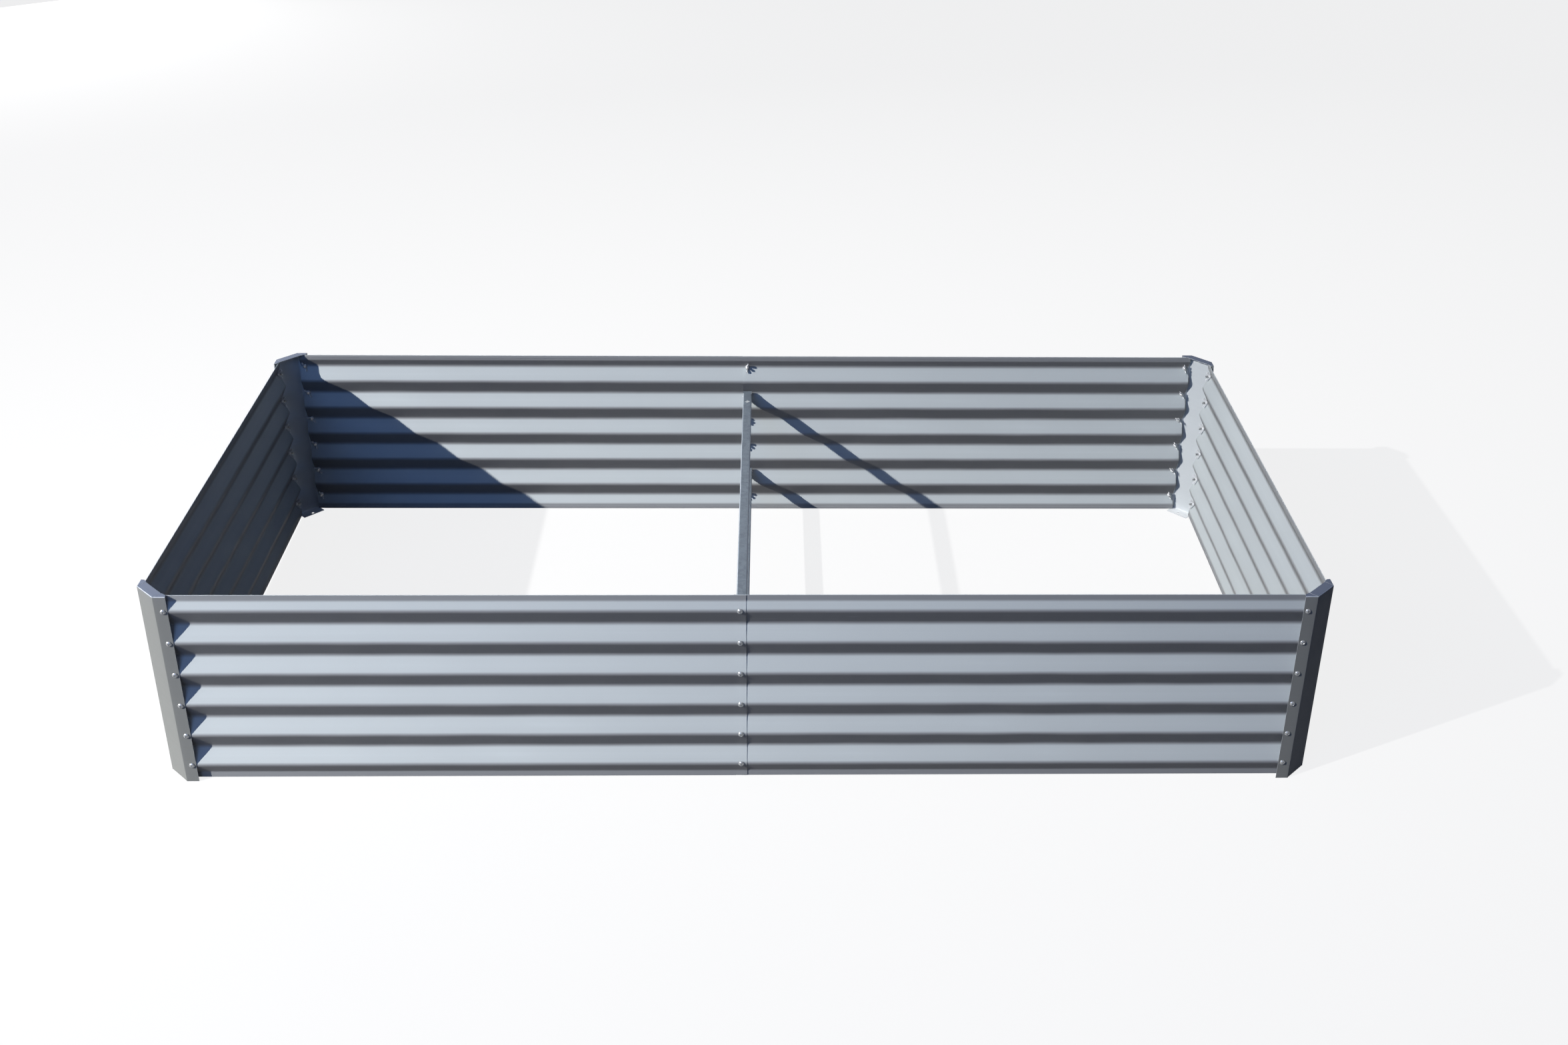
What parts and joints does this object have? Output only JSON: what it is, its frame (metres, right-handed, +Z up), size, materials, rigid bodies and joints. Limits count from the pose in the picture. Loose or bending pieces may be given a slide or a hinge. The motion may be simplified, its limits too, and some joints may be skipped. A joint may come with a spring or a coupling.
{
  "type": "raised garden bed",
  "caption": "Open-bottomed rectangular garden bed of corrugated steel sheets bolted to folded corner posts, with channel braces across the middle.",
  "frame": {"origin": "middle of the bed on the ground, the bottom centre of its bounding box", "axes": "+X along the bed's length to the right, -Y towards the front wall, +Z up"},
  "size_m": [2.4074, 1.2074, 0.45],
  "materials": {
    "wall_paint": "satin mid grey factory paint",
    "post_paint": "satin mid grey factory paint",
    "galvanised_steel": "dull speckled zinc coating",
    "zinc_bolt": "bright zinc plating",
    "zinc_wing_nut": "bright zinc plating"
  },
  "bodies": {
    "root": {"front_left_panel": "wall_paint", "front_right_panel": "wall_paint", "back_left_panel": "wall_paint", "back_right_panel": "wall_paint", "left_end_panel": "wall_paint", "right_end_panel": "wall_paint", "front_left_post": "post_paint", "front_right_post": "post_paint", "back_left_post": "post_paint", "back_right_post": "post_paint", "upper_brace": "galvanised_steel", "lower_brace": "galvanised_steel", "front_wall_left_bolts": "zinc_bolt", "front_wall_right_bolts": "zinc_bolt", "back_wall_left_bolts": "zinc_bolt", "back_wall_right_bolts": "zinc_bolt", "left_end_front_bolts": "zinc_bolt", "left_end_back_bolts": "zinc_bolt", "right_end_front_bolts": "zinc_bolt", "right_end_back_bolts": "zinc_bolt", "front_seam_bolts": "zinc_bolt", "back_seam_bolts": "zinc_bolt", "front_wall_left_wing_nuts": "zinc_wing_nut", "front_wall_right_wing_nuts": "zinc_wing_nut", "back_wall_left_wing_nuts": "zinc_wing_nut", "back_wall_right_wing_nuts": "zinc_wing_nut", "left_end_front_wing_nuts": "zinc_wing_nut", "left_end_back_wing_nuts": "zinc_wing_nut", "right_end_front_wing_nuts": "zinc_wing_nut", "right_end_back_wing_nuts": "zinc_wing_nut", "front_seam_wing_nuts": "zinc_wing_nut", "back_seam_wing_nuts": "zinc_wing_nut"}
  },
  "joints": []
}
